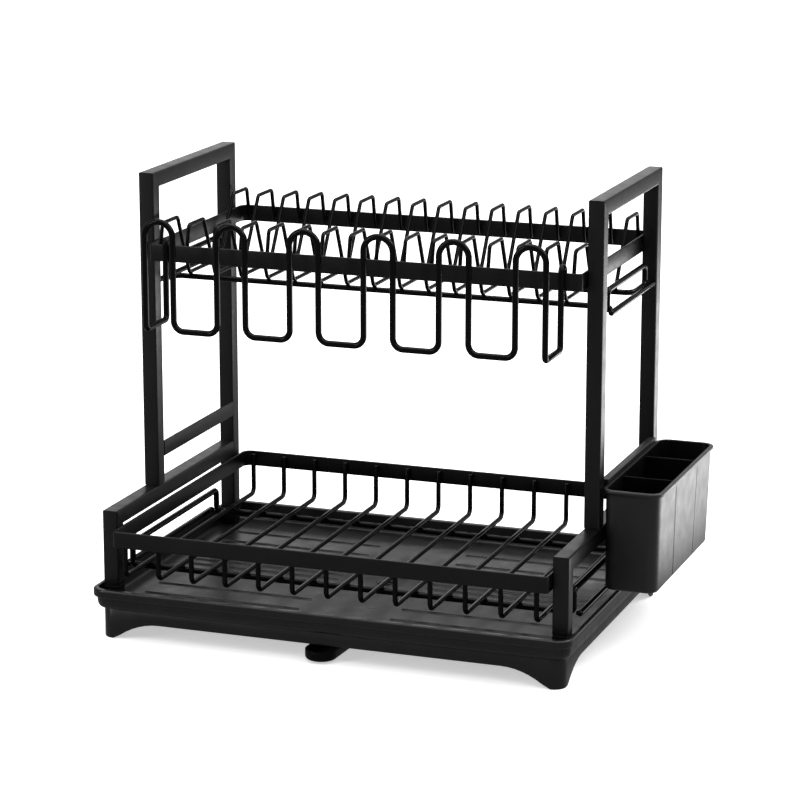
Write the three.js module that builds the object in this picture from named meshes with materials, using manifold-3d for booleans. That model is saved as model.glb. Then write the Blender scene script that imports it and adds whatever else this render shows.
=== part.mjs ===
// Dish drying rack: two side frames of square tube carry an upper plate rack and a lower basket
// of steel wire. The rack stands in a plastic drip tray whose drain spout swivels underneath,
// a wire cup holder hooks over the upper rim and a cutlery holder hangs on the right frame.
// Millimetres, +Z up, front towards -Y, standing on z = 0.
import * as THREE from 'three';
import { mergeVertices } from 'three/addons/utils/BufferGeometryUtils.js';
import Module from 'manifold-3d';

const wasm = await Module();
wasm.setup();

// Clearance left between pieces that are welded, clipped or rested on each other
const GAP = 0.3;

// Side frames
const TUBE = 14;
const TUBE_EDGE = 1.2;
const FRAME_HALF_WIDTH = 211;
const FRAME_HALF_DEPTH = 136;
const FRAME_TOP = 394;
const LOW_RAIL_TOP = 112;
const FRONT_UPRIGHT_Y = -48;
const STRIP_THICKNESS = 2;
const STRIP_LOW = 136.5;
const STRIP_TOP = 150.5;
const CAP_TOP = 48;
const FRAME_INNER = FRAME_HALF_WIDTH - TUBE;
const REAR_UPRIGHT_Y = FRAME_HALF_DEPTH - TUBE;
const FRONT_UPRIGHT_BACK = FRONT_UPRIGHT_Y + TUBE;
const UPRIGHTS_MIDDLE = (FRONT_UPRIGHT_Y + FRAME_HALF_DEPTH) / 2;

// Flat steel rims of the two tiers
const BAND_THICKNESS = 2;
const BAND_FRONT_CORNER = 4;
const BAND_REAR_CORNER = 9;
const RIM_HALF_WIDTH = FRAME_INNER - GAP;
const UPPER_RIM_TOP = 334;
const UPPER_RIM_LOW = 319;
const UPPER_RIM_FRONT = UPRIGHTS_MIDDLE - 104.5;
const UPPER_RIM_REAR = UPRIGHTS_MIDDLE + 104.5;
const LOWER_RIM_TOP = 97.5;
const LOWER_RIM_LOW = 83;
const LOWER_RIM_HALF_DEPTH = 148;

// Plate wires of the upper tier
const PLATE_WIRES = 16;
const PLATE_PITCH = 25;
const PLATE_WIRE = 3.5;
const PLATE_CREST = 351.2;
const PLATE_CREST_END = 94.5;
const PLATE_CREST_START = 62.5;
const PLATE_FRONT_DIP = 38.6;
const PLATE_REAR_DIP = 29.5;
const PLATE_FLOOR = 297;
const PLATE_BEND = 4;

// Wires of the lower basket
const BASKET_WIRES = 13;
const BASKET_PITCH = 31;
const BASKET_WIRE = 4.4;
const BASKET_FLOOR = 57;
const BASKET_BEND = 6;

// Heavier wires that carry each tier: y of the two long runs and of the legs of the end handles
const UPPER_BASE = { diameter: 5, front: 8.8, rear: 72.4, handleFront: -6, handleRear: 112, rise: 18 };
const LOWER_BASE = { diameter: 5.4, front: -93, rear: 93, handleFront: -93, handleRear: 93, rise: 20 };
const HANDLE_X = 203;
const HANDLE_BEND = 5;
const JOG_BEND = 8;
const UPPER_ROD_OVERHANG = 9;
const LOWER_ROD_OVERHANG = 3;

// Removable cup holder
const CUP_WIRE = 5.4;
const CUP_LOOPS = 6;
const CUP_PITCH = 66.5;
const CUP_LOOP_WIDTH = 26;
const CUP_CREST_BEND = 12.5;
const CUP_VALLEY_BEND = 9;
const CUP_END_BEND = 4;
const CUP_TOP = 363.2;
const CUP_LOW = 268.7;
const CUP_REACH = 42.7;

// Drip tray
const FLOOR_TOP = 30;
const FLOOR_THICKNESS = 3;
const FLOOR_UNDER = FLOOR_TOP - FLOOR_THICKNESS;
const LIP_HALF_WIDTH = 217;
const LIP_HALF_DEPTH = 155;
const LIP_TOP = 45.5;
const LIP_LOW = 38;
const TRAY_CORNER = 14;
const BODY_HALF_WIDTH = 215;
const BODY_HALF_DEPTH = 150.5;
const BODY_TAPER = 2.2;
const SKIRT_HALF_WIDTH = 210;
const SKIRT_HALF_DEPTH = 145.5;
const SKIRT_WALL = 2.5;
const BASIN_HALF_WIDTH = 213;
const BASIN_HALF_DEPTH = 149;
const BASIN_TAPER = 1.5;
const ARCH_HEIGHT = 15.5;
const FOOT_LENGTH_X = 13;
const FOOT_LENGTH_Y = 15;
const ARCH_RUN = 42;
const RIB_ROWS = [7, 71, 100.5];
const RIB_START = 42;
const RIB_END = 188;
const RIB_WIDTH = 1.8;
const RIB_HEIGHT = 1.2;
const DRAIN_RADIUS = 7;
const DISH_RADIUS = 20;
const BOSS_RADIUS = 9;
const BOSS_LOW = 18;
const BEAD_RADIUS = 10.4;

// Swivel spout
const SPOUT_LOW = 2;
const SPOUT_TOP = 11;
const SPOUT_WIDTH = 28;
const SPOUT_REACH = 153;
const SPOUT_WALL = 1.8;
const SPOUT_CUP_RADIUS = 17;
const SPOUT_COLLAR_LOW = 20.6;
const SPOUT_REST_ANGLE = 2.7;

// Cutlery holder
const HOLDER_INNER_X = 211.6;
const HOLDER_OUTER_X = 265;
const HOLDER_LENGTH = 187;
const HOLDER_TOP = 147.5;
const HOLDER_LOW = 58.5;
const HOLDER_LIP = 2.2;
const HOLDER_LIP_HEIGHT = 3.5;
const HOLDER_WALL = 1.8;
const HOLDER_TAPER = 2.6;
const HOLDER_CORNER = 12;
const HOLDER_FLOOR = 2;
const DIVIDER_OFFSET = 35.5;
const DIVIDER_DROP = 2;
const GROOVE_WIDTH = 1.8;
const GROOVE_DROP = 6.5;
const FLANGE_THICKNESS = 1.6;
const FLANGE_END_GAP = 2.5;
const FLANGE_DROP = 9;

// The origin lies at the bottom centre of the whole object's box
const ORIGIN_X = (HOLDER_OUTER_X - LIP_HALF_WIDTH) / 2;

const paint = (color, roughness, metalness) => () =>
  new THREE.MeshStandardMaterial({ color, roughness, metalness });
const coatedSteel = paint('#1d1d1e', 0.42, 0.35);
const coatedWire = paint('#151516', 0.3, 0.4);
const satinPlastic = paint('#232324', 0.5, 0);

const rack = new THREE.Group();
rack.position.x = -ORIGIN_X;

function place(name, geometry, material) {
  const mesh = new THREE.Mesh(geometry, material());
  mesh.name = name;
  rack.add(mesh);
  return mesh;
}

// ---------------------------------------------------------------- shapes

// A path through corners given as Vector4 (x, y, z, bend radius), with each bend a true arc
class WirePath extends THREE.Curve {
  constructor(corners) {
    super();
    this.stations = [];
    const points = corners.map((c) => new THREE.Vector3(c.x, c.y, c.z));
    const last = corners.length - 1;
    const way = (i) => points[i + 1].clone().sub(points[i]).normalize();
    this.stations.push({ point: points[0], tangent: way(0) });
    for (let i = 1; i < last; i += 1) {
      this.addBend(points[i], way(i - 1), way(i), corners[i].w);
    }
    this.stations.push({ point: points[last], tangent: way(last - 1) });
  }

  addBend(corner, before, after, radius) {
    const angle = before.angleTo(after);
    const start = corner.clone().addScaledVector(before, -radius * Math.tan(angle / 2));
    const inward = after.clone().addScaledVector(before, -Math.cos(angle)).normalize();
    const steps = Math.ceil(angle / (Math.PI / 8));
    for (let k = 0; k <= steps; k += 1) {
      const turn = (angle * k) / steps;
      const point = start
        .clone()
        .addScaledVector(before, radius * Math.sin(turn))
        .addScaledVector(inward, radius * (1 - Math.cos(turn)));
      const tangent = before
        .clone()
        .multiplyScalar(Math.cos(turn))
        .addScaledVector(inward, Math.sin(turn));
      this.stations.push({ point, tangent });
    }
  }

  station(t) {
    return this.stations[Math.round(t * (this.stations.length - 1))];
  }

  getPoint(t) {
    return this.station(t).point.clone();
  }

  getPointAt(u) {
    return this.getPoint(u);
  }

  getTangentAt(u) {
    return this.station(u).tangent.clone();
  }
}

const bend = (x, y, z, radius = 0) => new THREE.Vector4(x, y, z, radius);

function wire(corners, diameter, sides = 8) {
  const section = new THREE.Shape();
  for (let i = 0; i < sides; i += 1) {
    const angle = ((i + 0.5) * 2 * Math.PI) / sides;
    const x = (diameter / 2) * Math.cos(angle);
    const y = (diameter / 2) * Math.sin(angle);
    if (i === 0) section.moveTo(x, y);
    else section.lineTo(x, y);
  }
  const extrudePath = new WirePath(corners);
  return new THREE.ExtrudeGeometry(section, { steps: extrudePath.stations.length - 1, extrudePath });
}

function block(x0, x1, y0, y1, z0, z1) {
  const box = new THREE.BoxGeometry(x1 - x0, y1 - y0, z1 - z0);
  return box.translate((x0 + x1) / 2, (y0 + y1) / 2, (z0 + z1) / 2);
}

function post(radius, z0, z1) {
  const cylinder = new THREE.CylinderGeometry(radius, radius, z1 - z0, 32);
  return cylinder.rotateX(Math.PI / 2).translate(0, 0, (z0 + z1) / 2);
}

function roundedRectangle(x0, x1, y0, y1, radius, frontRadius = radius) {
  const shape = new THREE.Shape();
  shape.absarc(x1 - radius, y1 - radius, radius, 0, Math.PI / 2);
  shape.absarc(x0 + radius, y1 - radius, radius, Math.PI / 2, Math.PI);
  shape.absarc(x0 + frontRadius, y0 + frontRadius, frontRadius, Math.PI, 1.5 * Math.PI);
  shape.absarc(x1 - frontRadius, y0 + frontRadius, frontRadius, 1.5 * Math.PI, 2 * Math.PI);
  shape.closePath();
  return shape;
}

function slab(shape, z0, z1) {
  const body = new THREE.ExtrudeGeometry(shape, { depth: z1 - z0, bevelEnabled: false, curveSegments: 3 });
  return body.translate(0, 0, z0);
}

const centredSlab = (halfX, halfY, radius, z0, z1) =>
  slab(roundedRectangle(-halfX, halfX, -halfY, halfY, radius), z0, z1);

// Moves the walls of a slab towards the centre (cx, cy) at its foot, by inset at z0 and none at z1.
// With uprightLeft, the wall on the -X side stays upright.
function tapered(body, cx, cy, z0, z1, inset, uprightLeft = false) {
  const position = body.getAttribute('position');
  for (let i = 0; i < position.count; i += 1) {
    const move = (inset * (z1 - position.getZ(i))) / (z1 - z0);
    const sideways = Math.max(Math.sign(position.getX(i) - cx), uprightLeft ? 0 : -1);
    position.setX(i, position.getX(i) - sideways * move);
    position.setY(i, position.getY(i) - Math.sign(position.getY(i) - cy) * move);
  }
  return body;
}

function solid(geometry) {
  const bare = geometry.clone();
  bare.deleteAttribute('normal');
  bare.deleteAttribute('uv');
  const merged = mergeVertices(bare, 1e-4);
  const vertProperties = new Float32Array(merged.getAttribute('position').array);
  const triVerts = new Uint32Array(merged.getIndex().array);
  return new wasm.Manifold(new wasm.Mesh({ numProp: 3, vertProperties, triVerts }));
}

function carved(whole) {
  const mesh = whole.getMesh();
  const geometry = new THREE.BufferGeometry();
  geometry.setAttribute('position', new THREE.BufferAttribute(mesh.vertProperties, 3));
  geometry.setIndex(new THREE.BufferAttribute(mesh.triVerts, 1));
  geometry.computeVertexNormals();
  return geometry;
}

const joined = (...parts) => parts.map(solid).reduce((whole, part) => whole.add(part));

// ---------------------------------------------------------------- side frames

// A length of square tube in a side frame: its outline in (y, z), with the long edges rounded
function tubeLength(outline, centreX) {
  const shape = new THREE.Shape(outline.map(([y, z]) => new THREE.Vector2(y, z)));
  const body = new THREE.ExtrudeGeometry(shape, {
    depth: TUBE - 2 * TUBE_EDGE,
    bevelThickness: TUBE_EDGE,
    bevelSize: TUBE_EDGE,
    bevelOffset: -TUBE_EDGE,
    bevelSegments: 2,
  });
  const axes = [new THREE.Vector3(0, 1, 0), new THREE.Vector3(0, 0, 1), new THREE.Vector3(1, 0, 0)];
  body.applyMatrix4(new THREE.Matrix4().makeBasis(...axes));
  return body.translate(centreX - TUBE / 2 + TUBE_EDGE, 0, 0);
}

function sideFrame(side, sign) {
  const x = sign * (FRAME_HALF_WIDTH - TUBE / 2);
  const mitre = GAP;
  const lowRailLow = LOW_RAIL_TOP - TUBE;
  const front = -FRAME_HALF_DEPTH;
  const postFoot = CAP_TOP + GAP;

  const frontPost = [
    [front, postFoot],
    [front + TUBE, postFoot],
    [front + TUBE, lowRailLow - mitre],
    [front, LOW_RAIL_TOP - mitre],
  ];
  const lowerRail = [
    [front + mitre, LOW_RAIL_TOP],
    [front + TUBE + mitre, lowRailLow],
    [REAR_UPRIGHT_Y - GAP, lowRailLow],
    [REAR_UPRIGHT_Y - GAP, LOW_RAIL_TOP],
  ];
  const frontUpright = [
    [FRONT_UPRIGHT_Y, LOW_RAIL_TOP + GAP],
    [FRONT_UPRIGHT_BACK, LOW_RAIL_TOP + GAP],
    [FRONT_UPRIGHT_BACK, FRAME_TOP - TUBE - mitre],
    [FRONT_UPRIGHT_Y, FRAME_TOP - mitre],
  ];
  const topRail = [
    [FRONT_UPRIGHT_Y + mitre, FRAME_TOP],
    [FRONT_UPRIGHT_BACK + mitre, FRAME_TOP - TUBE],
    [REAR_UPRIGHT_Y - mitre, FRAME_TOP - TUBE],
    [FRAME_HALF_DEPTH - mitre, FRAME_TOP],
  ];
  const rearUpright = [
    [REAR_UPRIGHT_Y, postFoot],
    [FRAME_HALF_DEPTH, postFoot],
    [FRAME_HALF_DEPTH, FRAME_TOP - mitre],
    [REAR_UPRIGHT_Y, FRAME_TOP - TUBE - mitre],
  ];
  place(`${side}_front_post`, tubeLength(frontPost, x), coatedSteel);
  place(`${side}_lower_rail`, tubeLength(lowerRail, x), coatedSteel);
  place(`${side}_front_upright`, tubeLength(frontUpright, x), coatedSteel);
  place(`${side}_top_rail`, tubeLength(topRail, x), coatedSteel);
  place(`${side}_rear_upright`, tubeLength(rearUpright, x), coatedSteel);

  // Both frames are the same part, so the flat strip is flush with the right face of each
  const stripX = x + TUBE / 2;
  const strip = block(
    stripX - STRIP_THICKNESS, stripX,
    FRONT_UPRIGHT_BACK + GAP, REAR_UPRIGHT_Y - GAP,
    STRIP_LOW, STRIP_TOP,
  );
  place(`${side}_cutlery_rail`, strip, coatedSteel);

  const capMiddles = { front: front + TUBE / 2, rear: FRAME_HALF_DEPTH - TUBE / 2 };
  for (const [end, y] of Object.entries(capMiddles)) {
    const outline = roundedRectangle(x - TUBE / 2, x + TUBE / 2, y - TUBE / 2, y + TUBE / 2, TUBE_EDGE);
    place(`${side}_${end}_foot_cap`, slab(outline, FLOOR_TOP + GAP, CAP_TOP), satinPlastic);
  }
}

sideFrame('left', -1);
sideFrame('right', 1);

// ---------------------------------------------------------------- rims

function rim(front, rear, low, top) {
  const ring = (inset) => roundedRectangle(
    inset - RIM_HALF_WIDTH, RIM_HALF_WIDTH - inset, front + inset, rear - inset,
    BAND_REAR_CORNER - inset, BAND_FRONT_CORNER - inset,
  );
  const outline = ring(0);
  outline.holes.push(ring(BAND_THICKNESS));
  return slab(outline, low, top);
}

const upperRim = rim(UPPER_RIM_FRONT, UPPER_RIM_REAR, UPPER_RIM_LOW, UPPER_RIM_TOP);
const lowerRim = rim(-LOWER_RIM_HALF_DEPTH, LOWER_RIM_HALF_DEPTH, LOWER_RIM_LOW, LOWER_RIM_TOP);
place('upper_rim', upperRim, coatedSteel);
place('lower_rim', lowerRim, coatedSteel);

// ---------------------------------------------------------------- plate rack

// A plate wire seen from the side, as (distance from the middle, height, bend radius) of each
// corner from a weld to its dip. The dip is further out at the front than at the rear.
function plateWire(x) {
  const weld = UPPER_RIM_REAR - UPRIGHTS_MIDDLE - BAND_THICKNESS - GAP - PLATE_WIRE / 2;
  const half = (dip) => [
    [weld, UPPER_RIM_LOW + 2, 0],
    [PLATE_CREST_END, PLATE_CREST, PLATE_BEND],
    [PLATE_CREST_START, PLATE_CREST, PLATE_BEND],
    [dip, PLATE_FLOOR, PLATE_BEND],
  ];
  const front = half(PLATE_FRONT_DIP).map(([y, z, r]) => bend(x, UPRIGHTS_MIDDLE - y, z, r));
  const rear = half(PLATE_REAR_DIP).map(([y, z, r]) => bend(x, UPRIGHTS_MIDDLE + y, z, r));
  return wire([...front, ...rear.reverse()], PLATE_WIRE);
}

for (let i = 0; i < PLATE_WIRES; i += 1) {
  const x = (i - (PLATE_WIRES - 1) / 2) * PLATE_PITCH;
  place(`plate_wire_${String(i + 1).padStart(2, '0')}`, plateWire(x), coatedWire);
}

// ---------------------------------------------------------------- lower basket

function basketWire(x) {
  const y = LOWER_RIM_HALF_DEPTH - BAND_THICKNESS - GAP - BASKET_WIRE / 2;
  const weldTop = LOWER_RIM_TOP - 2;
  return wire([
    bend(x, -y, weldTop),
    bend(x, -y, BASKET_FLOOR, BASKET_BEND),
    bend(x, y, BASKET_FLOOR, BASKET_BEND),
    bend(x, y, weldTop),
  ], BASKET_WIRE);
}

for (let i = 0; i < BASKET_WIRES; i += 1) {
  const x = (i - (BASKET_WIRES - 1) / 2) * BASKET_PITCH;
  place(`basket_wire_${String(i + 1).padStart(2, '0')}`, basketWire(x), coatedWire);
}

// ---------------------------------------------------------------- base wires and side rods

// One ring of wire: two long runs under the tier, and at each end a raised handle.
// Its ends meet at a butt joint in the middle of the front run.
function baseWire({ diameter, front, rear, handleFront, handleRear, rise }, z) {
  const corners = [];
  const legs = [
    [1, front, handleFront], [1, rear, handleRear], [-1, rear, handleRear], [-1, front, handleFront],
  ];
  for (const [i, [sx, run, handle]] of legs.entries()) {
    const x = sx * HANDLE_X;
    const jog = run === handle ? [] : [bend(x, run, z, JOG_BEND)];
    const leg = [...jog, bend(x, handle, z, HANDLE_BEND), bend(x, handle, z + rise, HANDLE_BEND)];
    corners.push(...(i % 2 === 0 ? leg : leg.reverse()));
  }
  return wire([bend(GAP / 2, front, z), ...corners, bend(-GAP / 2, front, z)], diameter);
}

function sideRod(sign, { diameter, handleFront, handleRear }, overhang, z) {
  const x = sign * (HANDLE_X + diameter + GAP);
  return wire([bend(x, handleFront - overhang, z), bend(x, handleRear + overhang, z)], diameter);
}

const upperBaseZ = PLATE_FLOOR - (PLATE_WIRE + UPPER_BASE.diameter) / 2 - GAP;
const lowerBaseZ = BASKET_FLOOR - (BASKET_WIRE + LOWER_BASE.diameter) / 2 - GAP;
place('upper_base_wire', baseWire(UPPER_BASE, upperBaseZ), coatedWire);
place('lower_base_wire', baseWire(LOWER_BASE, lowerBaseZ), coatedWire);
for (const [side, sign] of [['left', -1], ['right', 1]]) {
  const upperRod = sideRod(sign, UPPER_BASE, UPPER_ROD_OVERHANG, upperBaseZ);
  const lowerRod = sideRod(sign, LOWER_BASE, LOWER_ROD_OVERHANG, lowerBaseZ);
  place(`upper_${side}_side_rod`, upperRod, coatedWire);
  place(`lower_${side}_side_rod`, lowerRod, coatedWire);
}

// ---------------------------------------------------------------- cup holder

function cupHolder() {
  const hookRadius = BAND_THICKNESS / 2 + GAP + CUP_WIRE / 2;
  const bandMiddle = UPPER_RIM_FRONT + BAND_THICKNESS / 2;
  const standing = bandMiddle - hookRadius;
  const behind = bandMiddle + hookRadius;
  const hookTop = UPPER_RIM_TOP + 0.5 + hookRadius;
  const front = standing - CUP_REACH;
  const firstCrest = (-(CUP_LOOPS - 1) * CUP_PITCH) / 2;
  const endX = -firstCrest + CUP_LOOP_WIDTH / 2;
  const hook = (x) => [
    bend(x, behind, UPPER_RIM_TOP - 6),
    bend(x, behind, hookTop, hookRadius - 0.1),
    bend(x, standing, hookTop, hookRadius - 0.1),
    bend(x, standing, CUP_LOW, CUP_END_BEND),
    bend(x, front, CUP_LOW, CUP_END_BEND),
  ];
  const path = hook(-endX);
  for (let i = 0; i < CUP_LOOPS; i += 1) {
    const left = firstCrest + i * CUP_PITCH - CUP_LOOP_WIDTH / 2;
    const right = left + CUP_LOOP_WIDTH;
    path.push(bend(left, front, CUP_TOP, CUP_CREST_BEND));
    path.push(bend(right, front, CUP_TOP, CUP_CREST_BEND));
    if (i < CUP_LOOPS - 1) {
      path.push(bend(right, front, CUP_LOW, CUP_VALLEY_BEND));
      path.push(bend(right + CUP_PITCH - CUP_LOOP_WIDTH, front, CUP_LOW, CUP_VALLEY_BEND));
    }
  }
  path.push(...hook(endX).reverse());
  return wire(path, CUP_WIRE);
}

place('cup_holder', cupHolder(), coatedWire);

// ---------------------------------------------------------------- drip tray

// The opening under an edge of the tray: a flat arch that runs down to the feet in an S-curve
function archOutline(halfSpan) {
  const flat = halfSpan - ARCH_RUN;
  const shape = new THREE.Shape();
  shape.moveTo(-halfSpan, -1);
  shape.lineTo(-halfSpan, 0);
  shape.bezierCurveTo(-halfSpan + 12, 9, -flat - 18, ARCH_HEIGHT, -flat, ARCH_HEIGHT);
  shape.lineTo(flat, ARCH_HEIGHT);
  shape.bezierCurveTo(flat + 18, ARCH_HEIGHT, halfSpan - 12, 9, halfSpan, 0);
  shape.lineTo(halfSpan, -1);
  return shape;
}

function archCut(halfSpan, length) {
  const cut = new THREE.ExtrudeGeometry(archOutline(halfSpan), {
    depth: length,
    bevelEnabled: false,
    curveSegments: 8,
  });
  return cut.translate(0, 0, -length / 2).rotateX(Math.PI / 2);
}

function dripTray() {
  const skirt = centredSlab(SKIRT_HALF_WIDTH, SKIRT_HALF_DEPTH, TRAY_CORNER - 3, 0, FLOOR_UNDER + 1);
  const body = tapered(
    centredSlab(BODY_HALF_WIDTH, BODY_HALF_DEPTH, TRAY_CORNER - 2, FLOOR_UNDER, LIP_LOW + 0.5),
    0, 0, FLOOR_UNDER, LIP_LOW + 0.5, BODY_TAPER,
  );
  const lip = centredSlab(LIP_HALF_WIDTH, LIP_HALF_DEPTH, TRAY_CORNER, LIP_LOW, LIP_TOP);
  const shell = joined(skirt, body, lip);

  const basin = tapered(
    centredSlab(BASIN_HALF_WIDTH, BASIN_HALF_DEPTH, TRAY_CORNER - 4, FLOOR_TOP, LIP_TOP + 1),
    0, 0, FLOOR_TOP, LIP_TOP + 1, BASIN_TAPER,
  );
  const inside = SKIRT_WALL;
  const under = centredSlab(
    SKIRT_HALF_WIDTH - inside, SKIRT_HALF_DEPTH - inside, TRAY_CORNER - 3 - inside, -1, FLOOR_UNDER,
  );
  const frontArch = archCut(SKIRT_HALF_WIDTH - FOOT_LENGTH_X, 2 * LIP_HALF_DEPTH);
  const sideArch = archCut(SKIRT_HALF_DEPTH - FOOT_LENGTH_Y, 2 * LIP_HALF_WIDTH).rotateZ(Math.PI / 2);
  let tray = shell
    .subtract(solid(basin))
    .subtract(solid(under))
    .subtract(solid(frontArch))
    .subtract(solid(sideArch));

  const boss = joined(
    post(BOSS_RADIUS, BOSS_LOW, FLOOR_UNDER + 1),
    post(BEAD_RADIUS, BOSS_LOW, BOSS_LOW + 2),
  );
  const dish = new THREE.CylinderGeometry(DISH_RADIUS, DISH_RADIUS - 5, 2.2, 32);
  dish.rotateX(Math.PI / 2).translate(0, 0, FLOOR_TOP);
  tray = tray
    .add(boss)
    .subtract(solid(dish))
    .subtract(solid(post(DRAIN_RADIUS, 0, LIP_TOP)));

  const bar = DRAIN_RADIUS + 0.5;
  tray = tray.add(joined(
    block(-bar, bar, -1, 1, FLOOR_UNDER - 1, FLOOR_TOP - 1.4),
    block(-1, 1, -bar, bar, FLOOR_UNDER - 1, FLOOR_TOP - 1.4),
  ));

  const ribs = [];
  for (const row of RIB_ROWS) {
    for (const y of [-row, row]) {
      for (const [x0, x1] of [[-RIB_END, -RIB_START], [RIB_START, RIB_END]]) {
        const y0 = y - RIB_WIDTH / 2;
        ribs.push(block(x0, x1, y0, y0 + RIB_WIDTH, FLOOR_TOP - 0.5, FLOOR_TOP + RIB_HEIGHT));
      }
    }
  }
  return carved(tray.add(joined(...ribs)));
}

place('drip_tray', dripTray(), satinPlastic);

// ---------------------------------------------------------------- swivel spout

function drainSpout() {
  const half = SPOUT_WIDTH / 2;
  const inner = half - SPOUT_WALL;
  const floor = SPOUT_LOW + SPOUT_WALL;
  const outline = (halfWidth) => roundedRectangle(
    -halfWidth, halfWidth, half - SPOUT_REACH - halfWidth, halfWidth, halfWidth - 0.05,
  );
  const cupTop = FLOOR_UNDER - GAP;
  const outside = joined(
    slab(outline(half), SPOUT_LOW, SPOUT_TOP),
    post(SPOUT_CUP_RADIUS, SPOUT_LOW, cupTop),
  );
  const inside = joined(
    slab(outline(inner), floor, SPOUT_TOP + 1),
    post(SPOUT_CUP_RADIUS - SPOUT_WALL, floor, SPOUT_COLLAR_LOW),
    post(BOSS_RADIUS + GAP, SPOUT_COLLAR_LOW - 1, cupTop + 1),
  );
  return carved(outside.subtract(inside));
}

const spout = place('drain_spout', drainSpout(), satinPlastic);
spout.rotation.z = -THREE.MathUtils.degToRad(SPOUT_REST_ANGLE);

// ---------------------------------------------------------------- cutlery holder

function cutleryHolder() {
  const y0 = UPRIGHTS_MIDDLE - HOLDER_LENGTH / 2;
  const y1 = UPRIGHTS_MIDDLE + HOLDER_LENGTH / 2;
  const cx = (HOLDER_INNER_X + HOLDER_OUTER_X) / 2;
  const tub = (inset, z0, z1) => slab(
    roundedRectangle(
      HOLDER_INNER_X + inset, HOLDER_OUTER_X - inset, y0 + inset, y1 - inset, HOLDER_CORNER - inset,
    ),
    z0, z1,
  );
  const shape = (body) => tapered(
    body, cx, UPRIGHTS_MIDDLE, HOLDER_LOW, HOLDER_TOP, HOLDER_TAPER, true,
  );
  let holder = joined(
    shape(tub(HOLDER_LIP, HOLDER_LOW, HOLDER_TOP - 0.5)),
    tub(0, HOLDER_TOP - HOLDER_LIP_HEIGHT, HOLDER_TOP),
  );

  // Two dividers, with a narrow groove in the outer wall at each of them
  const hollow = shape(tub(HOLDER_LIP + HOLDER_WALL, HOLDER_LOW + HOLDER_FLOOR, HOLDER_TOP + 1));
  const face = shape(tub(HOLDER_LIP + 0.6, HOLDER_LOW, HOLDER_TOP));
  const dividerRows = [UPRIGHTS_MIDDLE - DIVIDER_OFFSET, UPRIGHTS_MIDDLE + DIVIDER_OFFSET];
  const across = (y, width, x0, z0, z1) => block(x0, HOLDER_OUTER_X, y - width / 2, y + width / 2, z0, z1);
  const dividers = dividerRows.map(
    (y) => across(y, HOLDER_WALL, HOLDER_INNER_X, HOLDER_LOW, HOLDER_TOP - DIVIDER_DROP),
  );
  holder = holder.subtract(solid(hollow).subtract(joined(...dividers)));
  const grooves = dividerRows.map(
    (y) => across(y, GROOVE_WIDTH, cx, HOLDER_LOW - 1, HOLDER_TOP - GROOVE_DROP),
  );
  holder = holder.subtract(joined(...grooves).subtract(solid(face)));

  // A flange over the cutlery rail, between the uprights
  const railInner = FRAME_HALF_WIDTH - STRIP_THICKNESS;
  const flangeLow = STRIP_TOP + GAP;
  const flangeTop = flangeLow + FLANGE_THICKNESS;
  const flangeInner = railInner - GAP - FLANGE_THICKNESS;
  const a = FRONT_UPRIGHT_BACK + FLANGE_END_GAP;
  const b = REAR_UPRIGHT_Y - FLANGE_END_GAP;
  const wallBack = HOLDER_INNER_X + HOLDER_LIP;
  return carved(holder.add(joined(
    block(HOLDER_INNER_X, wallBack, a, b, HOLDER_TOP - HOLDER_LIP_HEIGHT, flangeTop),
    block(flangeInner, wallBack, a, b, flangeLow, flangeTop),
    block(flangeInner, railInner - GAP, a, b, flangeTop - FLANGE_DROP, flangeTop),
  )));
}

place('cutlery_holder', cutleryHolder(), satinPlastic);

export default rack;
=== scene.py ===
"""Dish drying rack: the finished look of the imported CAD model, at the photograph's viewing angle.

Every piece is built in millimetres in the shared frame. It replaces the CAD node of its place, or
adds detail to it. The tubes, bands and wires are coated steel. The foot caps, the tray, the spout
and the cutlery holder are satin moulded plastic.
"""
import math

import bmesh
import bpy
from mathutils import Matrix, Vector


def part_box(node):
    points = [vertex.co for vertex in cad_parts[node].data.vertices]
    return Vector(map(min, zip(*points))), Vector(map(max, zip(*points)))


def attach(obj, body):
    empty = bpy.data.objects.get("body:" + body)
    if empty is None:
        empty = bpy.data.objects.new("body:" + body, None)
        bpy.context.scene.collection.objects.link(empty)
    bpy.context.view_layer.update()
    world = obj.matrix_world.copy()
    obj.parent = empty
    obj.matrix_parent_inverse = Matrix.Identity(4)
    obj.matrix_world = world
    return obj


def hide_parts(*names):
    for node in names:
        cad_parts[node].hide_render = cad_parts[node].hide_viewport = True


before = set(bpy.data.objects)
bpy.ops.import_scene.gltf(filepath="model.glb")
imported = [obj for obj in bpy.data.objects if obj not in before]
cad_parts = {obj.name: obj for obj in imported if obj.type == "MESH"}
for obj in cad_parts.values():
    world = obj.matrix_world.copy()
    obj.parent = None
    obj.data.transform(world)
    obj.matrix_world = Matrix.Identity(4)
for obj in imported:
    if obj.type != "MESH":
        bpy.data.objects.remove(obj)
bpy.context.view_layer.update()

MM = 0.001


def cad_box(node):
    """Lowest and highest corner of a CAD node, in millimetres."""
    low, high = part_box(node)
    return low / MM, high / MM


# ---------------------------------------------------------------- driving dimensions, millimetres

GAP = 0.3
TUBE = 14.0
TUBE_EDGE = 1.6
TUBE_SEAM = 0.02

LEFT_LOW, LEFT_HIGH = cad_box("left_top_rail")
_, RIGHT_HIGH = cad_box("right_top_rail")
RACK_X = (LEFT_LOW.x + RIGHT_HIGH.x) / 2
FRAME_TOP = LEFT_HIGH.z
UPPER_RIM_LOW, UPPER_RIM_HIGH = cad_box("upper_rim")
LOWER_RIM_LOW, _ = cad_box("lower_rim")
UPPER_Y = (UPPER_RIM_LOW.y + UPPER_RIM_HIGH.y) / 2
BAND = 2.0
BAND_EDGE = 0.75
RAIL_EDGE = 0.7
BAND_FRONT_CORNER = 4.0
BAND_REAR_CORNER = 9.0

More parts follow.
